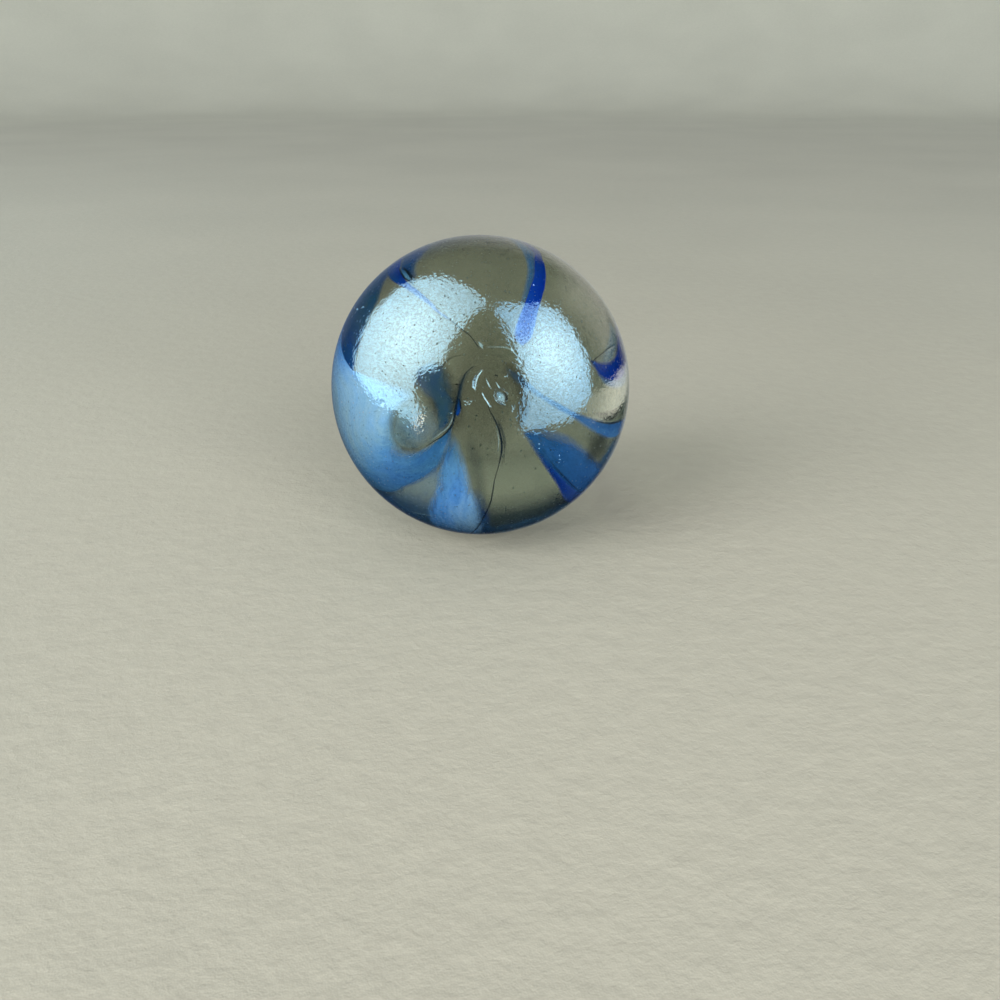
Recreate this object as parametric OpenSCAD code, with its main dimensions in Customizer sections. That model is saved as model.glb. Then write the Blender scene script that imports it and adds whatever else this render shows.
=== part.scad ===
// Glass marble: a ball of clear olive-grey glass, with veils of pale blue glass and
// ribbons of cobalt glass let into its skin. They all swirl out of the cut mark on
// the face of the ball, pass round its sides and run together at the back.
// The three glasses are fused: their faces meet, and nothing moves.
// The origin is the centre of the ball, +Z is up and -Y is the front.

/* [Ball] */
// Diameter of the ball
ball_d = 16; // [14:0.5:25]

/* [Cut mark] */
// Width of the shallow pit where the hot glass was cut off
mark_w = 2; // [1.2:0.1:2.6]
// Depth of the pit
mark_depth = 0.15; // [0.05:0.01:0.3]
// Width of the chip in the side of the pit
chip_w = 0.9; // [0.5:0.1:1.2]
// Depth of the chip below the skin of the ball
chip_depth = 0.2; // [0.1:0.01:0.35]
// Distance of the chip from the middle of the pit
chip_off = 0.5; // [0:0.05:0.7]
// Angle from the front round to the cut mark, towards +X
mark_turn = 4; // [-40:1:40]
// Angle from level up to the cut mark
mark_rise = 16; // [-40:1:40]

/* [Swirl] */
// Depth of the pale blue veils below the skin
veil_depth = 0.5; // [0.3:0.05:1]
// Depth of the cobalt ribbons below the skin
cobalt_depth = 0.7; // [0.3:0.05:1.2]
// Width of the veils and ribbons, where 1 is as first made
spread_factor = 1; // [0.7:0.05:1.15]

/* [Hidden] */
$fn = 96;
ball_r = ball_d / 2;
// Each course is a list of places along the middle of a band of glass. A place is
// [angle from the cut mark, turn round the cut mark, half of the width], in degrees
// of arc. The turn starts at the right and runs anticlockwise, facing the cut mark.
VEILS = [
    // arm that curls out from under the cut mark, to the lower left
    [[11, 190, 0.6], [14, 210, 1], [19, 221, 1.5], [26, 225, 2.8], [34, 226, 4.6],
     [43, 223, 7.5], [52, 216, 11], [63, 208, 13]],
    // broad tongue that the arm runs into, down the left side
    [[40, 206, 3], [44, 203, 12], [50, 200, 20], [57, 196, 25], [68, 192, 28],
     [83, 188, 27], [100, 185, 24], [120, 184, 17], [142, 190, 9], [162, 205, 2.5]],
    // fan, down the front to the foot of the ball
    [[16, 222, 0.8], [22, 234, 2.6], [30, 243, 4.5], [40, 248, 6.4], [52, 254, 7.8],
     [63, 257, 9], [80, 260, 9], [100, 264, 8.5], [125, 273, 6.5], [145, 286, 4],
     [162, 302, 1.5]],
    // narrow band, across to the right
    [[13, 356, 0.8], [25, 346, 1.8], [40, 340, 2.6], [54, 340, 3], [72, 343, 3.5],
     [90, 348, 4], [115, 358, 4], [140, 12, 3], [160, 28, 1.2]],
    // wedge, down to the right
    [[19, 313, 1], [24, 315, 3], [36, 316, 7], [51, 314, 7.6], [77, 314, 7],
     [100, 316, 7], [125, 323, 5.5], [145, 335, 3.5], [162, 352, 1.2]]
];
COBALTS = [
    // streak, up over the top
    [[18, 50, 1], [22, 57, 3], [30, 61, 3], [45, 64, 2.8], [60, 68, 2.8],
     [75, 73, 2.8], [92, 79, 3], [115, 89, 3.5], [140, 102, 3], [161, 118, 1.2]],
    // hook, on the right
    [[38, 11, 0.8], [44, 6, 2.2], [52, 5, 3.2], [61, 9, 4.2], [72, 15, 4.5],
     [90, 22, 4.5], [115, 34, 4], [140, 50, 2.6], [160, 66, 1]],
    // strip along the border of the wedge
    [[17, 309, 0.8], [25, 310, 1.5], [36, 306, 2.2], [51, 307, 2.4], [77, 308, 2.4],
     [96, 310, 2.5], [120, 318, 2.5], [142, 331, 2], [160, 346, 1]],
    // lick that thickens to the upper left and goes over the edge
    [[24, 115, 0.8], [40, 122, 0.8], [50, 123, 1.4], [57, 124, 3], [66, 123, 5.5],
     [78, 121, 6.5], [95, 121, 6], [118, 127, 5], [140, 138, 3], [161, 152, 1]],
    // crescent down the left edge, out of the thick part of the lick
    [[57, 171, 0.8], [61, 163, 3.5], [66, 151, 6], [70, 138, 6], [74, 127, 5]]
];
// pieces that a band is divided into between two places of its course
STEPS = 3;
// the blank of a band runs from well inside the ball to well outside it
BLANK_IN = 0.6 * ball_r;
BLANK_OUT = 1.4 * ball_r;
// the chip lies on the lower right side of the pit
CHIP_TURN = 315;
CHIP_TILT = asin(chip_off / ball_r);

// direction at an angle from the +Z axis and a turn round it
function polar_dir(from_axis, turn) =
    [sin(from_axis) * cos(turn), sin(from_axis) * sin(turn), cos(from_axis)];

function unit(v) = v / norm(v);

// point on the smooth curve from b to c, where a and d are the places beyond them
function curve_at(a, b, c, d, t) =
    b + t * (c - a) / 2
    + t * t * (a - 2.5 * b + 2 * c - d / 2)
    + t * t * t * (1.5 * (b - c) + (d - a) / 2);

// a course as [direction, half width] at each end of its pieces
function smooth_course(course) =
    let (
        n = len(course),
        dirs = [for (place = course) polar_dir(place[0], place[1])],
        halves = [for (place = course) place[2]]
    )
    [
        for (i = [0 : n - 2], s = [0 : STEPS])
            if (s < STEPS || i == n - 2)
                let (
                    before = max(i - 1, 0),
                    after = min(i + 2, n - 1),
                    t = s / STEPS
                )
                [
                    unit(curve_at(dirs[before], dirs[i], dirs[i + 1], dirs[after], t)),
                    halves[i] + t * (halves[i + 1] - halves[i])
                ]
    ];

// blank that follows a course through the skin, with walls that point at the centre
module band_blank(course) {
    path = smooth_course(course);
    n = len(path);
    corners = [
        for (i = [0 : n - 1])
            let (
                here = path[i][0],
                ahead = path[min(i + 1, n - 1)][0] - path[max(i - 1, 0)][0],
                side = unit(cross(here, ahead)) * tan(path[i][1] * spread_factor),
                left = unit(here - side),
                right = unit(here + side)
            )
            each [BLANK_IN * left, BLANK_IN * right, BLANK_OUT * right, BLANK_OUT * left]
    ];
    sides = [
        for (i = [0 : n - 2], k = [0 : 3])
            let (next = (k + 1) % 4)
            [4 * i + k, 4 * i + 4 + k, 4 * i + 4 + next, 4 * i + next]
    ];
    ends = [[for (k = [0 : 3]) k], [for (k = [3 : -1 : 0]) 4 * (n - 1) + k]];
    polyhedron(points = corners, faces = concat(sides, ends));
}

// every band of one glass, from a depth below the skin outwards
module bands(courses, depth) {
    difference() {
        union() {
            for (course = courses) band_blank(course);
        }
        sphere(r = ball_r - depth);
    }
}

// sphere that bites a hollow of a stated width and depth into the top of the ball
module bite(width, depth) {
    bite_r = (width * width / 4 + depth * depth) / (2 * depth);
    translate([0, 0, ball_r - depth + bite_r]) sphere(r = bite_r);
}

// the form of the marble, with the cut mark on its +Z side
module ball() {
    difference() {
        sphere(r = ball_r);
        bite(mark_w, mark_depth);
        rotate([0, CHIP_TILT, CHIP_TURN]) bite(chip_w, chip_depth);
    }
}

// turns the swirl's own axis, +Z, to the cut mark
module at_mark() {
    rotate([90 - mark_rise, 0, mark_turn]) children();
}

module clear_glass() {
    color([0.45, 0.46, 0.36, 0.85])
        at_mark() difference() {
            ball();
            bands(VEILS, veil_depth);
            bands(COBALTS, cobalt_depth);
        }
}

module pale_blue_veils() {
    color([0.45, 0.62, 0.82])
        at_mark() difference() {
            intersection() {
                ball();
                bands(VEILS, veil_depth);
            }
            for (course = COBALTS) band_blank(course);
        }
}

module cobalt_ribbons() {
    color([0.03, 0.16, 0.58])
        at_mark() intersection() {
            ball();
            bands(COBALTS, cobalt_depth);
        }
}

clear_glass();
pale_blue_veils();
cobalt_ribbons();
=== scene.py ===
"""Glass marble: a ball of clear olive-grey glass with pale blue veils and cobalt
ribbons just under its skin, built around the marble's own CAD frame."""

import math

import bmesh
import bpy
from bpy.props import FloatProperty, FloatVectorProperty, IntProperty, PointerProperty
from mathutils import Matrix, Vector, kdtree


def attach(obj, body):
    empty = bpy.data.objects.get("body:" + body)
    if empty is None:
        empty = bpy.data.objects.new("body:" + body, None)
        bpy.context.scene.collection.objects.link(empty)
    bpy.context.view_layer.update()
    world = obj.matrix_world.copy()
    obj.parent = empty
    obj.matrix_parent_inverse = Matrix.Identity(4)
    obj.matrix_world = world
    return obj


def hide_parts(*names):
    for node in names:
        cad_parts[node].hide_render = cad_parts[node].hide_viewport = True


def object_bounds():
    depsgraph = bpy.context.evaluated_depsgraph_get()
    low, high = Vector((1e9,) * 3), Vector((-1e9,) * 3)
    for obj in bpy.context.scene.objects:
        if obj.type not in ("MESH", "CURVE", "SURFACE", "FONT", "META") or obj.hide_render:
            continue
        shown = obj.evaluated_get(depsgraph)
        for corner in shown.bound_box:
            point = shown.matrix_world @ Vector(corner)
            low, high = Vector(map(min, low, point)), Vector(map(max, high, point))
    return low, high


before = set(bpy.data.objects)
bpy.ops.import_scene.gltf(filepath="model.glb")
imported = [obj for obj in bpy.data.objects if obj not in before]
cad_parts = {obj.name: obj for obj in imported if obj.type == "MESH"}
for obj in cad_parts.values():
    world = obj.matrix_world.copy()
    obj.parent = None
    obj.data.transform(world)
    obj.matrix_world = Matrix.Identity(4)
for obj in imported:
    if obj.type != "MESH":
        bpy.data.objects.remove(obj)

bl_info = {
    "name": "Glass Marble",
    "version": (1, 0, 0),
    "blender": (4, 5, 0),
    "location": "3D View > Sidebar > Marble",
    "description": "Builds a swirled glass marble and the stage it stands on",
    "category": "Add Mesh",
}

MM = 0.001
CAD_BOX = [list(corner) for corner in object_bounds()]

# ---------------------------------------------------------------------------
# The swirl. Every place on the ball is [angle from the cut mark, turn round it], in
# degrees of arc. The turn starts at the right and runs anticlockwise, facing the mark.

# A sheet of coloured glass lies between two rails. A row of it gives a place on each
# rail, then the density, the tint at each rail and how soft the edge is at the first
# rail. A narrow sheet gives the places of its middle, each with half of the width, the
# density and the tint. Depth is in mm below the skin; widths and soft edges are in
# degrees. The sheet's own soft is for the second rail, or for both of a narrow sheet.
# Fray tears the edges, streak draws the tint out along the sheet, and milk is how grey
# the sheet is, at its start and at its end.
SHEET_STEPS, SHEET_FACES = 8, 28  # faces from row to row, and from rail to rail
RAIL_SINK = 0.05  # mm that the rails lie deeper than the middle of the sheet
FULL_EDGE = 3.0  # soft edges in from a rail, where a sheet counts as whole

# Style of thin pale sheets: the painted glints below, thin lines of painted highlight, and
# the pale inside of the slit.
GLEAM = dict(fray=0.3, streak=0.3, milk=(1.0, 1.0))

# Pale blue, milky glass.
VEILS = {
    "left": dict(depth=0.3, soft=4.0, fray=0.5, streak=0.5, milk=(0.9, -0.2), rows=[
        [19, 221.5, 19.5, 224.5, 0.7, 0.1, 0.25, 0.5],
        [21.5, 222, 23.5, 231, 0.9, 0.1, 0.4, 0.6],
        [24.5, 221.5, 29.5, 234, 0.95, 0.15, 0.45, 0.8],
        [28, 221, 33.5, 236, 0.95, 0.18, 0.32, 1.2],
        [31.5, 219.5, 39.5, 235.5, 1, 0.25, 0.3, 3],
        [35.5, 217, 47, 233, 1, 0.32, 0.3, 5],
        [39, 213, 55.5, 229.5, 1, 0.42, 0.32, 7],
        [41, 208, 66.5, 227, 1, 0.5, 0.34, 10],
        [40, 203, 79, 222, 1, 0.6, 0.38, 12],
        [38, 198, 92, 217, 1, 0.7, 0.55, 12],
        [36, 194, 98, 208, 1, 0.75, 0.8, 11],
        [34, 190, 100, 200, 0.95, 0.8, 0.9, 9],
        [31, 187, 100, 192.5, 0.9, 0.8, 0.95, 11],
        [26, 184, 100, 185, 0.95, 0.75, 0.9, 20],
        [27, 179.5, 100, 179.5, 1, 0.75, 0.9, 26],
        [33, 176, 100, 175.5, 1, 0.75, 0.88, 26],
        [42, 173.5, 100, 171.5, 1, 0.75, 0.85, 18],
        [50.5, 172, 100, 167.5, 1, 0.75, 0.75, 10],
        [57.5, 171, 100, 163, 1, 0.7, 0.65, 2],
        [63, 168.5, 100, 158.5, 1, 0.6, 0.6, 1.5],
        [70, 164.5, 100, 153.5, 1, 0.5, 0.5, 2],
        [77, 159, 98, 149, 0.9, 0.4, 0.4, 3],
        [85, 151, 96, 145, 0.5, 0.3, 0.3, 3]]),
    "left_back": dict(depth=0.34, soft=8.0, fray=0.8, streak=0.6, milk=(0.5, 0.5),
        rows=[
        [88, 165, 88, 214, 0.4, 0.7, 0.6, 8],
        [96, 162, 96, 210, 0.9, 0.7, 0.6, 8],
        [110, 164, 110, 207, 1, 0.6, 0.5, 7],
        [125, 168, 125, 205, 1, 0.5, 0.5, 6],
        [142, 176, 142, 205, 0.9, 0.5, 0.4, 5],
        [155, 190, 155, 205, 0.6, 0.4, 0.4, 3]]),
    "haze": dict(depth=0.36, soft=9.0, fray=0.6, streak=0.4, milk=(1.0, 1.0), rows=[
        [50, 190, 52, 210, 0.3, 0.7, 0.6, 8],
        [44, 184, 47, 214, 0.36, 0.7, 0.6, 10],
        [37, 180, 42, 218, 0.36, 0.7, 0.6, 12],
        [31, 180, 37.5, 222, 0.3, 0.6, 0.4, 12],
        [25, 184, 33, 224, 0.2, 0.5, 0.3, 12],
        [20, 192, 28, 225, 0.1, 0.4, 0.3, 10]]),
    "gap": dict(depth=0.42, soft=7.0, fray=0.8, streak=0.5, milk=(0.4, 0.2), rows=[
        [30, 226, 28, 240, 0.6, 0.2, 0.2, 4],
        [36, 226, 35, 243, 0.4, 0.3, 0.3, 6],
        [44, 222, 42, 246, 0.15, 0.5, 0.5, 8],
        [56, 220, 54, 250, 0.12, 0.5, 0.5, 9],
        [70, 218, 68, 254, 0.2, 0.4, 0.4, 9],
        [84, 216, 84, 256, 0.45, 0.3, 0.3, 9]]),
    # The fan grades from steel blue at its top to pale sky at its bottom. The paleness of
    # its lower rows is partly its own colour and partly painted light, making up for the
    # weaker light at the bottom of the ball.
    "fan": dict(depth=0.33, soft=5.2, fray=0.5, streak=1.2, milk=(1.2, -1.6), rows=[
        [20, 221, 20, 226, 0.4, 0.1, 0.2, 0.6],
        [23.5, 227, 21, 237, 0.6, 0.15, 0.25, 0.8],
        [29, 230, 24.5, 246, 0.75, 0.22, 0.4, 2.2],
        [34.5, 234, 28, 251.5, 0.85, 0.34, 0.52, 3.5],
        [42, 237.5, 33, 256.5, 0.9, 0.4, 0.6, 5.5],
        [48, 239.5, 40.5, 261, 0.95, 0.42, 0.66, 6],
        [57, 240.5, 46, 264.5, 1, 0.45, 0.8, 6],
        [63.5, 242.5, 54.5, 267, 1, 0.5, 0.86, 5],
        [70, 244.5, 67, 269, 1, 0.55, 0.8, 4],
        [82, 249.5, 82, 270, 1, 0.45, 0.65, 3],
        [100, 255, 100, 274, 1, 0.45, 0.5, 3],
        [125, 264, 125, 281, 1, 0.4, 0.4, 3],
        [145, 278, 145, 293, 0.9, 0.3, 0.3, 2],
        [155, 288, 155, 297, 0.5, 0.3, 0.3, 2]]),
    "fan_haze": dict(depth=0.4, soft=5.0, fray=0.8, streak=0.8, milk=(0.6, 0.0), rows=[
        [40, 250, 38, 266, 0, 0.2, 0.2, 6],
        [50, 252, 46, 269, 0.3, 0.2, 0.2, 6],
        [60, 254, 56, 271, 0.6, 0.2, 0.2, 6],
        [72, 256, 68, 273, 0.85, 0.2, 0.1, 5],
        [86, 258, 84, 275, 0.9, 0.2, 0.1, 5]]),
    "right_band": dict(depth=0.3, soft=1.8, fray=0.5, streak=0.5, milk=(0.5, 0.0),
        rows=[
        [9.5, 55, 7.5, 52, 0.1, 0, 0, 0.5],
        [11, 29.5, 8, 19.5, 0.25, 0, 0, 1],
        [14, 8, 12, 356.5, 0.45, 0.1, 0.1, 1],
        [19, 354, 18, 346, 0.6, 0.1, 0.1, 1],
        [25.5, 348, 24, 341.5, 0.7, 0.1, 0.2, 1],
        [33, 344.5, 31.5, 339, 0.7, 0.15, 0.3, 1.2],
        [39, 344, 38.5, 337, 0.72, 0.22, 0.4, 1.6],
        [46, 343.5, 45, 336, 0.78, 0.2, 0.4, 1.8],
        [53.5, 343.5, 54, 335.5, 0.9, 0.2, 0.42, 1.8],
        [62, 345, 65, 337, 0.95, 0.3, 0.55, 1.8],
        [78, 348, 78, 341, 1, 0.3, 0.5, 1],
        [90, 352, 90, 344, 1, 0.3, 0.4, 1],
        [115, 363, 115, 353, 1, 0.3, 0.3, 1],
        [140, 377, 140, 367, 0.9, 0.3, 0.3, 1],
        [154, 385, 154, 379, 0.5, 0.3, 0.3, 1]]),
    "wedge": dict(depth=0.42, soft=7.0, fray=0.8, streak=0.6, milk=(0.0, 0.0), rows=[
        [19.5, 304, 18, 312, 0.5, 0.05, 0, 0.8],
        [22, 303.5, 21.5, 325, 0.8, 0.05, 0, 2],
        [26, 303, 29, 329, 0.85, 0.05, 0.1, 2.5],
        [31, 303, 37, 330, 0.9, 0.05, 0.18, 2.5],
        [38, 303.5, 47, 329, 0.95, 0.08, 0.2, 2],
        [48, 304, 58, 328, 1, 0.14, 0.26, 1.5],
        [62, 304.5, 71, 327, 1, 0.25, 0.4, 1],
        [78, 306, 80, 326, 1, 0.2, 0.3, 1],
        [100, 310, 100, 323, 1, 0.1, 0.2, 2],
        [125, 317, 125, 330, 1, 0.1, 0.2, 2],
        [145, 329, 145, 341, 0.8, 0.1, 0.2, 2],
        [155, 338, 155, 348, 0.5, 0.1, 0.2, 2]]),
    "side": dict(depth=0.46, soft=5.0, fray=0.7, streak=0.6, milk=(0.8, 0.4), rows=[
        [78, 347, 86, 347, 0, 0.4, 0.4, 5],
        [66, 339, 86, 340, 0.4, 0.3, 0.4, 7],
        [61, 332, 86, 333, 0.5, 0.3, 0.4, 8],
        [60, 325, 86, 326, 0.5, 0.2, 0.3, 8],
        [62, 319, 86, 320, 0, 0.2, 0.3, 8]]),
    "brow": dict(depth=0.46, soft=1.8, fray=0.5, streak=0.6, milk=(0.8, 0.8), rows=[
        [33, 70, 34, 65, 0.3, 0.1, 0.1, 2],
        [37.5, 70, 38.5, 64, 0.5, 0.1, 0.2, 2],
        [42.5, 70, 43.5, 64, 0.6, 0.1, 0.2, 2],
        [48, 70, 49.5, 64.5, 0.7, 0.15, 0.2, 2],
        [54.5, 71, 56, 65.5, 0.7, 0.2, 0.3, 2],
        [61.5, 73, 63.5, 67, 0.7, 0.2, 0.3, 2.5],
        [67, 75, 70, 68, 0.7, 0.3, 0.3, 2.5],
        [88, 84, 90, 76, 0.7, 0.3, 0.3, 2.5],
        [118, 94, 118, 87, 0.6, 0.3, 0.3, 2],
        [144, 106, 144, 102, 0.4, 0.3, 0.3, 1]]),
    "hook_haze": dict(depth=0.45, soft=2.0, fray=0.6, streak=0.5, milk=(1.0, 1.0),
        rows=[
        [47, 15, 46, 9, 0, 0.3, 0.3, 2],
        [53, 18, 52.5, 9, 0.25, 0.4, 0.4, 3],
        [60, 23, 60, 13, 0.3, 0.4, 0.4, 3],
        [66, 28, 70, 20, 0.2, 0.5, 0.5, 3]]),
    "hook_edge": dict(depth=0.33, soft=2.2, fray=0.4, streak=0.5, milk=(0.2, 0.2),
        places=[
        [44, 6.5, 0.6, 0.2, 0.3], [47.5, 2.5, 1.6, 0.4, 0.35], [52, 1, 2.2, 0.45, 0.4],
        [58, 0.5, 2.4, 0.4, 0.4], [65, 2, 2.6, 0.35, 0.4], [72, 6, 2.6, 0.35, 0.4],
        [80, 10.5, 2.4, 0.3, 0.4]]),
    "side_rim": dict(depth=0.3, soft=2.5, fray=0.6, streak=0.5, milk=(0.8, 0.4),
        places=[
        [86, 344, 2, 0.2, 0.5], [81, 339.5, 3, 0.6, 0.5], [77.5, 335, 3.5, 0.6, 0.45],
        [75, 330, 3.5, 0.55, 0.4], [74, 325, 3, 0.4, 0.3], [74, 319, 2, 0.1, 0.3]]),
    # A blue sheet along the bottom rim. Its blue is its own, but it is painted paler, as
    # painted light that makes up for the weaker light at the bottom of the ball.
    "chin": dict(depth=0.5, soft=2.0, fray=0.8, streak=0.6, milk=(0.6, 0.6), rows=[
        [74, 222, 90, 220, 0.4, 0.5, 0.5, 6],
        [68, 236, 90, 236, 0.6, 0.5, 0.6, 12],
        [62, 254, 90, 254, 0.7, 0.4, 0.6, 20],
        [60, 272, 90, 272, 0.7, 0.3, 0.6, 22],
        [60, 290, 90, 290, 0.7, 0.3, 0.6, 22],
        [66, 306, 90, 306, 0.6, 0.3, 0.6, 14]]),
    # A painted glint: a small pale-green spot of painted highlight at the end of the upper
    # crease.
    "glint_bead": dict(GLEAM, depth=0.1, soft=0.4, places=[
        [17, 104, 0.3, 0.4, 0.9], [15.5, 102, 0.8, 0.6, 0.9],
        [14, 101, 0.2, 0.4, 0.9]]),
    # The sheet named scratch is a painted glint: a thin pale arc of painted highlight
    # above the cut mark, not a scratch in the skin.
    "scratch": dict(GLEAM, depth=0.05, soft=0.1, places=[
        [14.5, 96.5, 0.05, 0.2, 0.9], [14.5, 82, 0.08, 0.3, 0.9],
        [15, 70, 0.1, 0.5, 0.9], [15, 60, 0.12, 0.6, 1], [14.5, 54.5, 0.08, 0.4, 1]]),
    # A painted glint: a thin pale line of painted highlight along the arm crease.
    "arm_glint": dict(GLEAM, depth=0.08, soft=0.12, places=[
        [15.5, 210, 0.03, 0.2, 0.9], [17.5, 216, 0.1, 0.4, 1], [20, 219, 0.12, 0.5, 1],
        [23.5, 219, 0.1, 0.4, 1], [26.5, 218.5, 0.08, 0.3, 0.9],
        [29.5, 217.5, 0.03, 0.1, 0.9]]),
    # A painted glint: a thin pale line of painted highlight beside the middle crease.
    "middle_glint": dict(GLEAM, depth=0.16, soft=0.2, places=[
        [13.5, 275.5, 0.05, 0.1, 0.8], [16, 276.5, 0.14, 0.4, 0.9],
        [18, 276.5, 0.18, 0.5, 0.9], [20, 275.5, 0.14, 0.4, 0.9],
        [23, 274.5, 0.05, 0.1, 0.8]]),
    "slit_light": dict(GLEAM, depth=0.2, soft=0.5, places=[
        [67, 124, 0.3, 0.1, 0.2], [62.5, 124, 1.1, 0.6, 0.3],
        [59, 124.1, 1.1, 0.7, 0.4], [55.5, 124, 0.7, 0.6, 0.5]]),
    "chip_light": dict(depth=0.45, soft=1.2, fray=0.6, streak=0.8, milk=(0.6, 0.6),
        places=[
        [2, 345, 0.4, 0, 0.6], [3.2, 330, 1.5, 0.45, 0.7], [4.6, 321, 1.9, 0.6, 0.9],
        [5.8, 317, 1.5, 0.55, 0.9], [6.8, 315, 0.4, 0, 0.8]]),
    # A painted reflection: a thin pale line near the bottom rim.
    "rim_reflection": dict(depth=0.2, soft=0.6, fray=0.3, streak=0.3, milk=(1.0, 0.4),
        places=[
        [79.5, 233.5, 0.3, 0, 0.9], [68.5, 239, 0.5, 0.3, 0.9],
        [63.5, 245, 0.5, 0.4, 0.9], [61, 248.5, 0.2, 0.1, 0.9]]),
}
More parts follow.
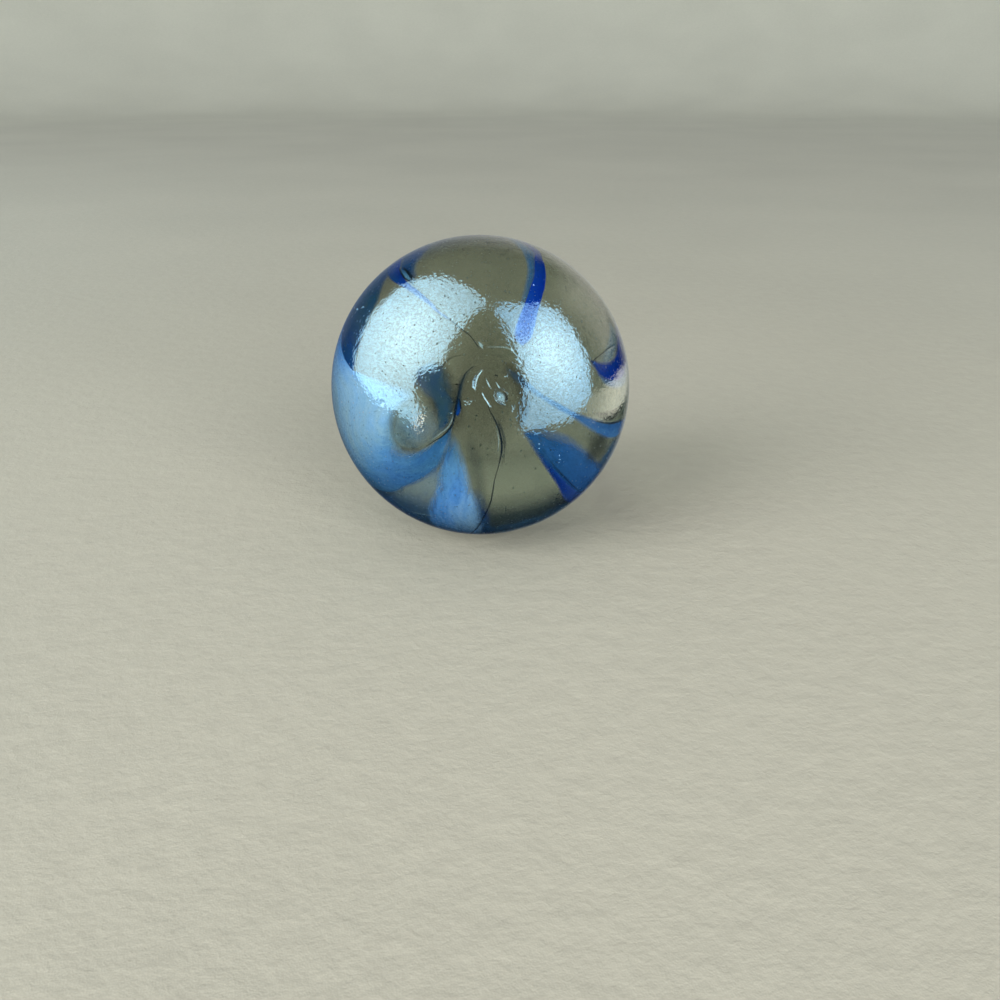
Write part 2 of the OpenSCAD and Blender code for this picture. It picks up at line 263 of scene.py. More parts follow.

# Cobalt glass, from solid ribbons to faint stains, and one sheet of painted shade.
RIBBONS = {
    "top_streak": dict(depth=0.36, soft=0.5, fray=0.4, streak=0.4, milk=(0.0, 0.0),
        rows=[
        [18.5, 57, 19, 52, 0.3, 0.7, 0.7, 1.5],
        [19.5, 64, 23, 49.5, 0.6, 0.65, 0.75, 2],
        [22.5, 67.5, 26.5, 51.5, 0.8, 0.65, 0.75, 1.5],
        [27.5, 67.5, 31.5, 55, 0.95, 0.6, 0.7, 1],
        [32.5, 67, 36.5, 57, 1, 0.45, 0.55, 0.8],
        [37.5, 66.5, 41, 58, 1, 0.35, 0.45, 0.6],
        [42.5, 66.5, 46.5, 59, 1, 0.4, 0.5, 0.8],
        [48.5, 66.5, 52.5, 60.5, 1, 0.35, 0.5, 1],
        [55, 67.5, 59, 62.5, 1, 0.35, 0.45, 1.2],
        [61.5, 68.5, 64.5, 64.5, 1, 0.3, 0.35, 1.5],
        [68, 70, 72, 66.5, 1, 0.25, 0.35, 2],
        [92, 82, 92, 76, 1, 0.4, 0.4, 1],
        [115, 93, 115, 85, 1, 0.5, 0.5, 1],
        [140, 107, 140, 98, 0.9, 0.5, 0.5, 1],
        [155, 115, 155, 109, 0.5, 0.5, 0.5, 1]]),
    "hook": dict(depth=0.36, soft=2.4, fray=0.4, streak=0.4, milk=(0.0, 0.0), rows=[
        [41, 15, 40.5, 14, 0.6, 0.1, 0.1, 0.4],
        [42, 14.5, 41.5, 10.5, 0.9, 0.1, 0.3, 0.6],
        [43.5, 14, 43, 8, 0.9, 0.2, 0.42, 1.2],
        [45.5, 13, 44.5, 4.5, 1, 0.3, 0.45, 1.8],
        [48.5, 12, 47.5, 2, 1, 0.35, 0.5, 2],
        [53, 11.5, 52, 0.5, 1, 0.38, 0.55, 2.2],
        [57, 12.5, 57.5, 0.5, 1, 0.38, 0.6, 2.4],
        [60.5, 14.5, 64.5, 2, 1, 0.38, 0.6, 2.8],
        [63.5, 17.5, 71.5, 5.5, 0.95, 0.35, 0.6, 3.2],
        [67, 21, 79.5, 9.5, 0.85, 0.25, 0.45, 4],
        [71, 25, 85, 16, 0.7, 0.25, 0.45, 4.5],
        [88, 33, 94, 24, 0.7, 0.4, 0.5, 2],
        [115, 42, 118, 34, 0.9, 0.5, 0.5, 1],
        [142, 57, 142, 49, 0.9, 0.5, 0.5, 1],
        [154, 65, 154, 59, 0.5, 0.5, 0.5, 1]]),
    "wedge_strip": dict(depth=0.28, soft=1.6, fray=0.4, streak=0.5, milk=(0.3, 0.0),
        rows=[
        [22, 303, 22, 306, 0.2, 0.1, 0.1, 1.5],
        [26, 303, 27, 308, 0.25, 0.1, 0.2, 1.8],
        [31, 303, 33.5, 308.5, 0.3, 0.2, 0.3, 2],
        [38, 303.3, 42, 308.5, 0.35, 0.4, 0.5, 2],
        [48, 303.6, 54, 309.5, 0.35, 0.5, 0.6, 1.8],
        [62, 303.5, 70, 311.5, 0.4, 0.65, 0.8, 1.6],
        [80, 306, 80, 313, 0.5, 0.7, 0.9, 1.4],
        [96, 308, 96, 313, 0.8, 0.5, 0.5, 1],
        [120, 315, 120, 321, 1, 0.5, 0.5, 1],
        [142, 328, 142, 335, 0.9, 0.5, 0.5, 1],
        [154, 338, 154, 343, 0.5, 0.5, 0.5, 1]]),
    "lick": dict(depth=0.38, soft=0.8, fray=0.4, streak=0.5, milk=(0.6, 0.0), rows=[
        [29, 119.5, 29.5, 118.5, 0.3, 0.8, 0.8, 0.4],
        [31, 121.5, 30.5, 118.5, 0.4, 0.8, 0.85, 0.5],
        [35.5, 124, 34.5, 121, 0.45, 0.8, 0.85, 0.6],
        [40, 125, 38, 121.5, 0.5, 0.75, 0.85, 0.8],
        [44.5, 126.5, 42.5, 122.5, 0.55, 0.7, 0.8, 0.9],
        [50, 127.5, 47, 123.5, 0.65, 0.6, 0.7, 0.9],
        [55, 128.5, 52, 124.5, 0.85, 0.45, 0.55, 0.9],
        [59.5, 129.5, 56.5, 125, 1, 0.25, 0.45, 0.9],
        [64.5, 130, 60, 125, 1, 0.15, 0.45, 1.2],
        [70, 130, 63, 124.5, 1, 0.15, 0.45, 2],
        [78, 129, 68, 124, 1, 0.15, 0.45, 3],
        [86, 127, 75, 121.5, 1, 0.3, 0.4, 3],
        [97, 126, 95, 117, 1, 0.5, 0.5, 2],
        [118, 133, 118, 122, 1, 0.5, 0.5, 2],
        [140, 143, 140, 133, 0.9, 0.5, 0.5, 2],
        [154, 149, 154, 145, 0.5, 0.5, 0.5, 1]]),
    "blot": dict(depth=0.42, soft=5.0, fray=0.6, streak=0.5, milk=(0.0, 0.6), rows=[
        [52, 124, 52, 123, 0.7, 0, 0, 0.4],
        [54, 124.5, 53.5, 121.5, 0.9, 0.1, 0, 0.5],
        [57, 125, 55.5, 120, 0.95, 0.2, 0, 0.5],
        [61, 125, 58, 119, 0.95, 0.2, 0, 0.6],
        [64, 124.8, 60.5, 118, 0.95, 0.2, 0, 0.7],
        [68, 124.3, 64.5, 115.5, 0.9, 0.1, 0.1, 1],
        [73, 123, 69, 112, 0.7, 0.1, 0.3, 2],
        [80, 121, 75, 108, 0.5, 0.1, 0.4, 3],
        [88, 119.5, 84, 107, 0.25, 0.1, 0.3, 3],
        [100, 117, 98, 105, 0, 0.1, 0.3, 3]]),
    "crescent": dict(depth=0.44, soft=2.0, fray=0.6, streak=0.8, milk=(0.0, 0.8), rows=[
        [58.5, 172, 59.5, 171, 0.9, 0.2, 0.2, 0.6],
        [58, 168.5, 65, 168.5, 0.95, 0.15, 0.15, 1.5],
        [58, 164, 73, 165, 0.95, 0.1, 0.1, 2],
        [58, 158, 82, 160, 0.72, 0.1, 0.25, 2],
        [58.5, 151, 88, 153, 0.68, 0, 0.25, 2],
        [59.5, 144, 90, 146, 0.75, 0, 0.15, 3],
        [61, 139, 90, 141, 0.85, 0, 0.15, 4],
        [65, 135, 90, 134.5, 0.75, 0.1, 0.1, 5],
        [69, 131, 90, 129.5, 0.8, 0.2, 0.2, 5],
        [72, 127, 90, 126, 0.5, 0.2, 0.2, 4]]),
    "stain": dict(depth=0.4, soft=6.0, fray=0.8, streak=1.2, milk=(1.0, 1.0), rows=[
        [24, 152, 20, 148, 0.2, 0, 0, 3],
        [30, 164, 17, 152, 0.5, 0.25, 0, 5],
        [31, 173, 14, 165, 0.42, 0.25, 0, 6],
        [27, 181, 12.5, 180, 0.38, 0.2, 0, 6],
        [22.5, 189, 12.5, 195.5, 0.42, 0.05, 0, 4],
        [22, 200, 14, 209, 0.46, 0, 0, 3.5],
        [24, 209.5, 17.5, 218, 0.5, 0, 0, 3.5],
        [27.5, 215, 23, 221.5, 0.5, 0.1, 0, 3],
        [31.5, 218.5, 27.5, 222, 0.3, 0.1, 0, 1.5]]),
    # Painted shade: a dark sheet beside the arm crease.
    "shade": dict(depth=0.4, soft=1.5, fray=0.6, streak=0.5, milk=(1.0, 0.4), rows=[
        [10, 126, 9.5, 127, 0.1, 0, 0, 0.4],
        [11, 143.5, 9.5, 142, 0.2, 0, 0, 0.6],
        [11.5, 161, 9.5, 164, 0.25, 0, 0, 0.6],
        [12, 179, 10, 185, 0.35, 0, 0, 0.6],
        [13, 194.5, 11.5, 201, 0.6, 0.1, 0, 0.5],
        [14, 204.5, 12.5, 211, 0.8, 0.3, 0.1, 0.5],
        [15.8, 212.5, 15, 217, 0.4, 0.1, 0, 0.4]]),
    "drop": dict(depth=0.32, soft=0.8, fray=0.6, streak=0.8, milk=(0.0, 0.0), places=[
        [11.8, 194, 0.3, 0.5, 0.05], [12.7, 201.5, 1, 0.9, 0.15],
        [13.6, 208, 1.3, 0.95, 0.22], [14.4, 212.5, 1.2, 1, 0.24],
        [15.2, 216, 0.4, 0.7, 0.2]]),
}

# Creases, where the skin folded in as the ball was rounded, drawn with painted shade: dark
# sheets along the creases, and wider dark sheets round them and round the cut mark. The
# skin itself dips along the grooved ones.
FOLD = dict(fray=0.1, streak=0.3, milk=(0.0, 0.0))
CREASES = {
    "middle": dict(FOLD, depth=0.12, soft=0.18, places=[
        [5.5, 254, 0.1, 0.7, 0.1], [7, 261.5, 0.25, 0.9, 0.1], [9, 270.5, 0.35, 1, 0.1],
        [11.5, 276, 0.38, 1, 0], [14.5, 279, 0.42, 1, 0], [18.5, 279.5, 0.48, 1, 0.1],
        [22, 278, 0.48, 1, 0.1], [25, 276, 0.36, 0.9, 0.1], [29, 273.5, 0.24, 0.8, 0.1],
        [33, 271.5, 0.24, 0.9, 0.1], [38, 270.5, 0.36, 1, 0.1],
        [44.5, 269.5, 0.36, 1, 0.1], [52, 267.5, 0.36, 1, 0.1],
        [63, 265.5, 0.4, 1, 0.1], [72, 264, 0.35, 0.8, 0.1], [80, 263, 0.1, 0.5, 0.1]]),
    "middle_shade": dict(FOLD, depth=0.16, soft=1.0, places=[
        [9, 276, 0.4, 0, 0.1], [12, 281, 1, 0.4, 0.1], [16, 283, 1, 0.4, 0.1],
        [20, 282, 1, 0.4, 0.1], [25, 279, 0.8, 0.2, 0.1], [30, 275, 0.4, 0, 0.1]]),
    "arm": dict(FOLD, depth=0.12, soft=0.18, places=[
        [10, 124, 0.08, 0.5, 0.1], [10.5, 142.5, 0.26, 0.9, 0.1],
        [10.5, 157.5, 0.32, 1, 0.1], [11, 176.5, 0.28, 0.9, 0.1],
        [12, 192.5, 0.3, 1, 0.1], [13.5, 205, 0.36, 1, 0.2], [15.5, 213, 0.42, 1, 0.1],
        [18, 220, 0.42, 1, 0.1], [20.5, 221.5, 0.44, 1, 0.1], [24, 222, 0.34, 1, 0.1],
        [27.5, 220.5, 0.24, 0.8, 0.1], [31.5, 220, 0.1, 0.4, 0.1]]),
    "arm_shade": dict(FOLD, depth=0.3, soft=1.5, places=[
        [10, 140, 0.8, 0, 0.1], [10.8, 158, 1.6, 0.22, 0.1],
        [11.3, 178, 1.8, 0.28, 0.1], [12.3, 195, 1.8, 0.35, 0.1],
        [13.6, 206, 1.4, 0.35, 0.1], [15, 214, 1, 0, 0.1]]),
    "upper": dict(FOLD, depth=0.12, soft=0.15, places=[
        [29.5, 119.5, 0.1, 0.4, 0.4], [26, 117, 0.12, 0.6, 0.3],
        [23.5, 115, 0.2, 0.9, 0.1], [21.5, 112.5, 0.26, 1, 0], [19.5, 110, 0.22, 1, 0],
        [17, 108, 0.18, 1, 0], [15, 106, 0.08, 0.7, 0]]),
    "hook": dict(FOLD, depth=0.12, soft=0.15, places=[
        [40.5, 12.5, 0.1, 0.8, 0.2], [43, 14.2, 0.3, 1, 0.1], [46, 15, 0.26, 1, 0],
        [52.5, 16.5, 0.26, 0.9, 0], [58, 17, 0.1, 0.4, 0]]),
    "wedge": dict(FOLD, depth=0.22, soft=0.8, places=[
        [28.5, 309.5, 0.3, 0.2, 0.3], [37, 309, 0.5, 0.55, 0.3],
        [45.5, 309.5, 0.6, 0.75, 0.3], [57.5, 310.5, 0.6, 0.75, 0.3],
        [70, 311.5, 0.4, 0.6, 0.3]]),
    "band": dict(FOLD, depth=0.2, soft=0.3, places=[
        [44, 342, 0.1, 0.4, 0.3], [51, 342.5, 0.35, 0.8, 0.3],
        [58, 343.5, 0.45, 0.9, 0.2], [66, 345.5, 0.3, 0.7, 0.3]]),
    "slit_left": dict(FOLD, depth=0.2, soft=0.3, places=[
        [68, 124.3, 0.2, 0.5, 0.1], [63.5, 124.8, 0.5, 0.9, 0.1],
        [59, 125.2, 0.5, 0.9, 0.1], [55, 124.8, 0.3, 0.9, 0.1],
        [51, 124, 0.15, 0.4, 0.3]]),
    "slit_right": dict(FOLD, depth=0.2, soft=0.3, places=[
        [66, 122.8, 0.3, 0.6, 0.1], [62, 122.8, 0.6, 1, 0.1], [58, 122.8, 0.7, 1, 0.1],
        [54.5, 122.8, 0.5, 0.9, 0.1], [52, 122.5, 0.2, 0.4, 0.1]]),
    # The sheet named smoke is painted shade: a broad dark patch beside the wedge.
    "smoke": dict(FOLD, depth=0.38, soft=7.0, places=[
        [43, 333, 3, 0, 0.85], [48, 332.5, 7, 0.32, 0.85], [53, 331.5, 9, 0.55, 0.8],
        [58, 330.5, 8, 0.4, 0.8], [64, 329, 5, 0, 0.75]]),
    "side_shade": dict(FOLD, depth=0.44, soft=1.2, places=[
        [42, 345.5, 0.5, 0, 0.1], [46, 345.5, 1.2, 0.35, 0.1],
        [51, 345.5, 2.2, 0.5, 0.1], [57, 347, 2.6, 0.5, 0.1], [63, 350, 2, 0.3, 0.1],
        [68, 353, 1, 0, 0.1]]),
    "fan_shade": dict(FOLD, depth=0.46, soft=4.5, places=[
        [17.5, 238, 1, 0, 0.2], [21.5, 248, 4, 0.12, 0.2], [26.5, 255.5, 4.5, 0.2, 0.2],
        [33, 260, 4.5, 0.22, 0.2], [39.5, 262.5, 4.5, 0.25, 0.2],
        [46, 264.5, 4.5, 0.3, 0.2], [52.5, 266.5, 4, 0.4, 0.4],
        [62, 268, 3, 0.4, 0.4]]),
    "speck": dict(FOLD, depth=0.05, soft=0.1, places=[
        [5, 79, 0.05, 0.9, 0], [5, 73, 0.3, 1, 0], [5, 66, 0.06, 0.8, 0]]),
    # Painted shade: wide dark sheets round the cut mark, beside the arm crease, on the
    # left veil and right of the mark.
    "dark_middle": dict(FOLD, depth=0.5, soft=12.0, places=[
        [30, 93, 8, 0, 1], [20, 94, 13, 0.12, 1], [9, 104, 16, 0.2, 1],
        [3, 148, 18, 0.26, 1], [6, 237.5, 18, 0.26, 1], [13, 253, 16, 0.22, 1],
        [20, 258, 13, 0.14, 1], [30, 262, 8, 0, 1]]),
    "dark_left": dict(FOLD, depth=0.52, soft=6.0, places=[
        [18, 146, 2, 0, 0.9], [18.5, 158, 6.5, 0.36, 0.9], [19, 172, 7.5, 0.5, 0.85],
        [18, 186, 8, 0.52, 0.85], [18, 204, 8, 0.5, 0.85], [20.5, 220, 7, 0.3, 0.9],
        [24, 230, 4, 0, 0.9]]),
    "dark_veil": dict(FOLD, depth=0.26, soft=6.0, places=[
        [33, 224, 1, 0, 1], [36, 216, 4, 0.18, 1], [37, 208, 5, 0.22, 1],
        [37, 200, 5, 0.15, 1], [35, 192, 3, 0, 1]]),
    "dark_right": dict(FOLD, depth=0.54, soft=3.0, places=[
        [10, 66, 1, 0, 1], [10, 54, 3, 0.25, 1], [10, 26, 3.5, 0.35, 0.9],
        [11, 354.5, 3.5, 0.35, 0.9], [13.5, 326.5, 3.5, 0.35, 0.9],
        [16, 310.5, 3, 0.3, 0.8], [20.5, 305.5, 1.5, 0, 0.8]]),
    "faint": dict(FOLD, depth=0.2, soft=0.5, places=[
        [19, 154, 0.5, 0.5, 0.1], [18, 142, 0.5, 0.4, 0], [16, 131, 0.3, 0.3, 0],
        [14.5, 124.5, 0.15, 0.2, 0]]),
}
GROOVED = ("middle", "arm", "upper", "hook")
GROOVE_STEPS = 24  # from place to place
GROOVE_REACH = 3  # where a groove's dip ends, in halves of its width

# The cut mark, in mm from its centre to the right and up: a shallow bowl, a chip and
# scratches. The chip's floor rises by so much to the right, and sinks by its lean of
# that upwards; its wall takes up 1 / wall of the way in. A scratch is a course of
# [right, up, half of its width], with straight sides.
MARK = Vector((0, 0, 1))
MARK_REACH = 0.2  # of the mark with its scratches, in radii of the ball
BOWL_HALF, BOWL_DEPTH = 1.0, 0.10
SCARRED = 0.08  # depth in mm where the glass is scarred all over
CHIP = dict(right=0.46, up=-0.33, half_length=0.46, half_width=0.33, turn=-52,
            depth=0.11, rise=0.36, lean=0.3, wall=6)
SCRATCH_SLOPE = 0.70
SCRATCHES = [
    [[-0.8, 0.06, 0.03], [-0.83, 0.2, 0.1], [-0.8, 0.42, 0.1], [-0.69, 0.68, 0.08],
     [-0.46, 0.93, 0.04]],
    [[-0.46, -0.12, 0.03], [-0.34, -0.34, 0.06], [-0.1, -0.76, 0.05]],
    [[-0.26, 0.52, 0.02], [-0.18, 0.34, 0.04], [-0.06, 0.08, 0.03]],
    [[0.24, 0.32, 0.03], [0.34, 0.14, 0.05], [0.42, 0, 0.02]],
    [[0.61, 0.61, 0.04], [0.75, 0.69, 0.03]],
    [[0.92, -0.76, 0.03], [1.02, -0.98, 0.04]],
]
# Stretches where the shine of the skin is painted weaker, as painted shade on the
# highlights over the ribbons beneath them: [angle from the mark, turn, half of the width,
# how much of the shine is lost].
DIMMED_SHINE_STEPS = 12  # from place to place
DIMMED_SHINE_RISE = 1.6  # how steeply the loss grows, in from the side of a stretch
DIMMED_SHINE = [
    [[17, 56, 2, 0], [20.5, 57.5, 3.5, 0.5], [24.5, 59.5, 3.6, 0.6],
     [29.5, 61, 3.4, 0.6], [34.5, 62, 3, 0.5], [38, 62.5, 2.5, 0.3]],
    [[29, 119.5, 0.6, 0], [33, 122, 1, 0.3], [40, 123.5, 1.2, 0.35],
     [50, 125.5, 1.6, 0.4], [58, 127.5, 1.8, 0.4]],
    [[11, 354, 1, 0], [18, 349, 1.4, 0.25], [25, 344.5, 1.8, 0.35],
     [32, 341.5, 2, 0.35], [38, 340.5, 2, 0]],
]
# Open seeds and nicks of the skin: [angle from the mark, turn, width, depth], the last
# two in mm.
PITS = [
    [40.5, 185.5, 0.34, 0.07], [28, 118.5, 0.14, 0.03], [25.5, 116, 0.12, 0.03],
    [24, 118.5, 0.14, 0.03], [16, 207.5, 0.12, 0.03], [25.5, 311, 0.16, 0.03],
    [27, 308.5, 0.1, 0.03], [37, 314, 0.16, 0.03], [38, 312.5, 0.12, 0.03],
    [35.5, 315.5, 0.1, 0.03], [57.5, 304, 0.16, 0.03], [53, 302.5, 0.18, 0.03],
    [55.5, 301, 0.12, 0.03], [42.5, 65, 0.12, 0.03], [39, 218, 0.12, 0.03],
    [71, 147, 0.2, 0.03], [66, 145, 0.16, 0.03], [9.4, 204, 0.12, 0.03],
    [9.8, 200, 0.1, 0.03], [9, 209, 0.12, 0.03], [10.2, 207, 0.08, 0.03],
    [8, 206, 0.1, 0.03], [6.8, 38, 0.14, 0.03], [10, 314, 0.12, 0.03],
]
# How near a crease, the cut mark or a pit the ball's faces are divided once more, in
# radii of the ball, one line for each time.
FINE_REACHES = [
    (0.026, 0.175, 0.045),
    (0.015, 0.155, 0.035),
    (0.0, 0.145, 0.028),
]

# ---------------------------------------------------------------------------
# The stage. A panel of light has [right, up] corners in degrees from its middle, a
# brightest place, the degrees in which its light fades to what is left at the edge, and
# the colours of its bright and dim parts.
WINDOW_DISTANCE = 0.3
WINDOWS = {
    "left_window": dict(
        turn=-65, rise=35, bright=(-8, 3), fade=34, edge=0.44, strength=7.3,
        colours=((0.58, 0.88, 1.0), (0.38, 0.71, 0.95)), corners=[
            [-42, 30], [-37, 36], [-27, 43], [-15, 48], [-3, 51], [6, 53], [13, 54],
            [16, 48], [17, 42], [20, 30], [24, 16], [26, 3], [27, -1], [23, -6],
            [17, -10], [15, -15], [15, -21], [16, -27], [19, -32], [24, -37], [22, -41],
            [24, -45], [20, -49], [11, -45], [2, -43], [-9, -41], [-19, -38],
            [-30, -34], [-40, -29], [-48, -25], [-50, -18], [-52, -10], [-52, -2],
            [-52, 5], [-49, 13], [-47, 22]]),
    "right_window": dict(
        turn=55, rise=30, bright=(8, 0), fade=30, edge=0.36, strength=7.6,
        colours=((0.56, 0.86, 1.0), (0.26, 0.62, 1.0)), corners=[
            [-6, 46], [1, 41], [9, 37], [18, 33], [26, 28], [32, 19], [34, 8], [36, -5],
            [36, -12], [35, -25], [33, -31], [28, -36], [20, -41], [11, -44], [0, -45],
            [-12, -46], [-23, -45], [-29, -41], [-29, -33], [-25, -25], [-22, -17],
            [-20, -10], [-20, -2], [-18, 8], [-17, 13], [-15, 22], [-13, 30], [-11, 37],
            [-8, 42]]),
    "warm_spot": dict(
        turn=-47, rise=-7, bright=(2, 0), fade=8, edge=0.5, strength=7.0,
        colours=((1.0, 0.86, 0.62), (0.95, 0.72, 0.5)), corners=[
            [-3, 8], [-1, 10], [2, 6], [3, 2], [4, -2], [2, -7], [-1, -10], [-3, -7],
            [-5, -3], [-5, 3]]),
    "cloth": dict(
        turn=111, rise=-12, bright=(4, 0), fade=26, edge=0.3, strength=1.6,
        colours=((0.9, 0.88, 0.72), (0.8, 0.82, 0.7)), corners=[
            [-26, 5.5], [-17, 8], [-7, 8], [4, 7], [12, 6.5], [21, 5], [33, 1.5],
            [40, -1.5], [42, -4], [36, -6], [27, -6.5], [16, -6.5], [6, -6.5], [-5, -7],
            [-15, -7], [-24, -5], [-33, -2], [-38, 1], [-34, 3.5]]),
}
LAMPS = [("key", (-0.30, -0.24, 0.20), 2.5), ("fill", (0.16, -0.36, 0.12), 2.6)]
LAMP_SIZE, LAMP_COLOUR = 0.3, (0.88, 0.96, 1.0)
SENSOR_WIDTH = 36.0
SWEEP_STEPS, FLOOR_STEPS = 12, 96  # up the floor's bend, and round the floor


def swirl_axes(ball):
    """Turns +Z to the cut mark."""
    return Matrix.Rotation(ball.mark_turn, 3, "Z") @ Matrix.Rotation(
        math.pi / 2 - ball.mark_rise, 3, "X")


def polar(from_mark, turn):
    """Direction of a place on the ball, with the cut mark at +Z."""
    a, t = math.radians(from_mark), math.radians(turn)
    return Vector((math.sin(a) * math.cos(t), math.sin(a) * math.sin(t), math.cos(a)))


def curve_at(a, b, c, d, t):
    """A smooth curve's value between b and c, where a and d are the ones beyond."""
    return (b + t * (c - a) / 2 + t * t * (a - 2.5 * b + 2 * c - d / 2)
            + t ** 3 * (1.5 * (b - c) + (d - a) / 2))


def walk(places, steps):
    """Unit directions of a course and its other values, smoothly from end to end."""
    dirs = [polar(p[0], p[1]) for p in places]
    rest = [Vector(p[2:]) for p in places]
    last = len(places) - 1
    path = []
    for i in range(last):
        before, after = max(i - 1, 0), min(i + 2, last)
        for s in range(steps + (i == last - 1)):
            t = s / steps
            here = curve_at(dirs[before], dirs[i], dirs[i + 1], dirs[after], t)
            path.append((here.normalized(), rest[i].lerp(rest[i + 1], t)))
    return path


def rails(sheet, steps):
    """Both rails of a sheet, each with density, tints and softness, end to end."""
    if "rows" in sheet:
        first = walk([row[:2] + row[4:] for row in sheet["rows"]], steps)
        second = walk([row[2:] for row in sheet["rows"]], steps)
        return [(a, b, values) for (a, values), (b, _) in zip(first, second)]
    path = walk(sheet["places"], steps)
    pairs = []
    for i, (here, (half, density, tint)) in enumerate(path):
        ahead = path[min(i + 1, len(path) - 1)][0] - path[max(i - 1, 0)][0]
        side = here.cross(ahead).normalized() * math.tan(math.radians(half))
        pairs.append(((here - side).normalized(), (here + side).normalized(),
                      Vector((density, tint, tint, sheet["soft"]))))
    return pairs


# ---------------------------------------------------------------------------
# Settings


class BallSizes(bpy.types.PropertyGroup):
    """Sizes of the ball and of the glass in it"""
    diameter: FloatProperty(
        name="Diameter", description="Across the ball", unit="LENGTH", default=0.016)
    mark_turn: FloatProperty(
        name="Cut mark turn", subtype="ANGLE", default=math.radians(4),
        description="From the front round to the mark, towards +X")
    mark_rise: FloatProperty(
        name="Cut mark rise", description="From level up to the mark", subtype="ANGLE",
        default=math.radians(16))
    groove_depth: FloatProperty(
        name="Crease depth", description="How far the skin dips along a crease",
        unit="LENGTH", default=0.000010)
    groove_width: FloatProperty(
        name="Crease width", description="Half of the dip's width", unit="LENGTH",
        default=0.00006)
    sheet_thickness: FloatProperty(
        name="Sheet thickness", description="Of the coloured glass", unit="LENGTH",
        default=0.00004)
    fineness: IntProperty(
        name="Fineness", description="Times the ball's faces are divided", default=7)


class GlassColours(bpy.types.PropertyGroup):
    """Colours of the three kinds of glass, of what stains them, and of the painted shade
    """
    body: FloatVectorProperty(
        name="Body", description="Share of light that passes the body of the ball",
        subtype="COLOR", size=3, default=(0.494, 0.567, 0.412))
    body_density: FloatProperty(
        name="Body density", description="How fast the body takes light, per metre",
        default=100.0)
    veil_steel: FloatVectorProperty(
        name="Veil, steel", description="Darkest parts of the veils",
        subtype="COLOR", size=3, default=(0.008, 0.08, 0.20))
    veil_royal: FloatVectorProperty(
        name="Veil, royal", description="Deep blue parts of the veils",
        subtype="COLOR", size=3, default=(0.05, 0.20, 0.52))
    veil_azure: FloatVectorProperty(
        name="Veil, azure", description="Middle blue of the veils",
        subtype="COLOR", size=3, default=(0.15, 0.42, 0.82))
    veil_sky: FloatVectorProperty(
        name="Veil, sky", description="Milky parts of the veils",
        subtype="COLOR", size=3, default=(0.33, 0.60, 0.88))
    veil_pale: FloatVectorProperty(
        name="Veil, pale", description="Palest parts of the veils",
        subtype="COLOR", size=3, default=(0.46, 0.70, 0.90))
    milk: FloatVectorProperty(
        name="Milk", description="What milky glass makes of a colour",
        subtype="COLOR", size=3, default=(1.1, 0.9, 0.62))
    cobalt: FloatVectorProperty(
        name="Cobalt", description="Ribbons", subtype="COLOR", size=3,
        default=(0.001, 0.036, 0.37))
    navy: FloatVectorProperty(
        name="Navy", description="Thin, dark parts of the ribbons", subtype="COLOR",
        size=3, default=(0.016, 0.095, 0.20))
    periwinkle: FloatVectorProperty(
        name="Periwinkle", description="Thin, pale parts of the ribbons",
        subtype="COLOR", size=3, default=(0.16, 0.36, 0.90))
    # Painted shade: the colour of the dark sheets along the creases.
    crease: FloatVectorProperty(
        name="Crease", description="Bottom of the creases", subtype="COLOR", size=3,
        default=(0.006, 0.014, 0.022))
    # Painted shade: the colour of the wide dark sheets round the creases and the cut mark.
    smoke: FloatVectorProperty(
        name="Smoke", description="Brown haze in the body", subtype="COLOR", size=3,
        default=(0.024, 0.018, 0.008))


class StageSizes(bpy.types.PropertyGroup):
    """Sizes and colours of the stage, and where the camera stands"""
    floor_radius: FloatProperty(
        name="Floor radius", description="Flat part of the floor", unit="LENGTH",
        default=0.5)
    sweep: FloatProperty(
        name="Sweep", description="Radius of the bend from the floor up to the wall",
        unit="LENGTH", default=0.2)
    wall: FloatProperty(
        name="Wall", description="Height of the wall over the floor", unit="LENGTH",
        default=0.6)
    floor_colour: FloatVectorProperty(
        name="Floor colour", description="Pale, warm grey", subtype="COLOR", size=3,
        default=(0.375, 0.334, 0.260))
    # Painted light: the wall is painted paler than the floor, where the lamps light it
    # less.
    wall_colour: FloatVectorProperty(
        name="Wall colour", description="Paler than the floor", subtype="COLOR", size=3,
        default=(0.66, 0.64, 0.54))
    # Painted shade: the top of the wall is painted dark.
    shade_colour: FloatVectorProperty(
        name="Shade colour", description="Top of the wall", subtype="COLOR", size=3,
        default=(0.08, 0.11, 0.14))
    shade_from: FloatProperty(
        name="Shade from", description="Height where the wall starts to darken",
        unit="LENGTH", default=0.14)
    shade_to: FloatProperty(
        name="Shade to", description="Height where the wall is darkest", unit="LENGTH",
        default=0.36)
    camera_distance: FloatProperty(
        name="Camera distance", description="From the middle of the ball",
        unit="LENGTH", default=0.055)
    camera_rise: FloatProperty(
        name="Camera rise", description="Angle from level up to the camera",
        subtype="ANGLE", default=math.radians(17))
    camera_pitch: FloatProperty(
        name="Camera pitch", description="Angle from level down to where it looks",
        subtype="ANGLE", default=math.radians(23.402))
    camera_yaw: FloatProperty(
        name="Camera yaw", description="Turn of the view to the right",
        subtype="ANGLE", default=math.radians(1.134))
    lens: FloatProperty(
        name="Lens", description="Focal length in mm on a 36 mm wide sensor",
        default=36.25)


# ---------------------------------------------------------------------------
# Mesh helpers


def smooth_object(name, bm, material):
    """Turns a bmesh into a smooth-shaded object of the scene."""
    mesh = bpy.data.meshes.new(name)
    bm.to_mesh(mesh)
    bm.free()
    mesh.polygons.foreach_set("use_smooth", [True] * len(mesh.polygons))
    mesh.materials.append(material)
    piece = bpy.data.objects.new(name, mesh)
    bpy.context.scene.collection.objects.link(piece)
    return piece


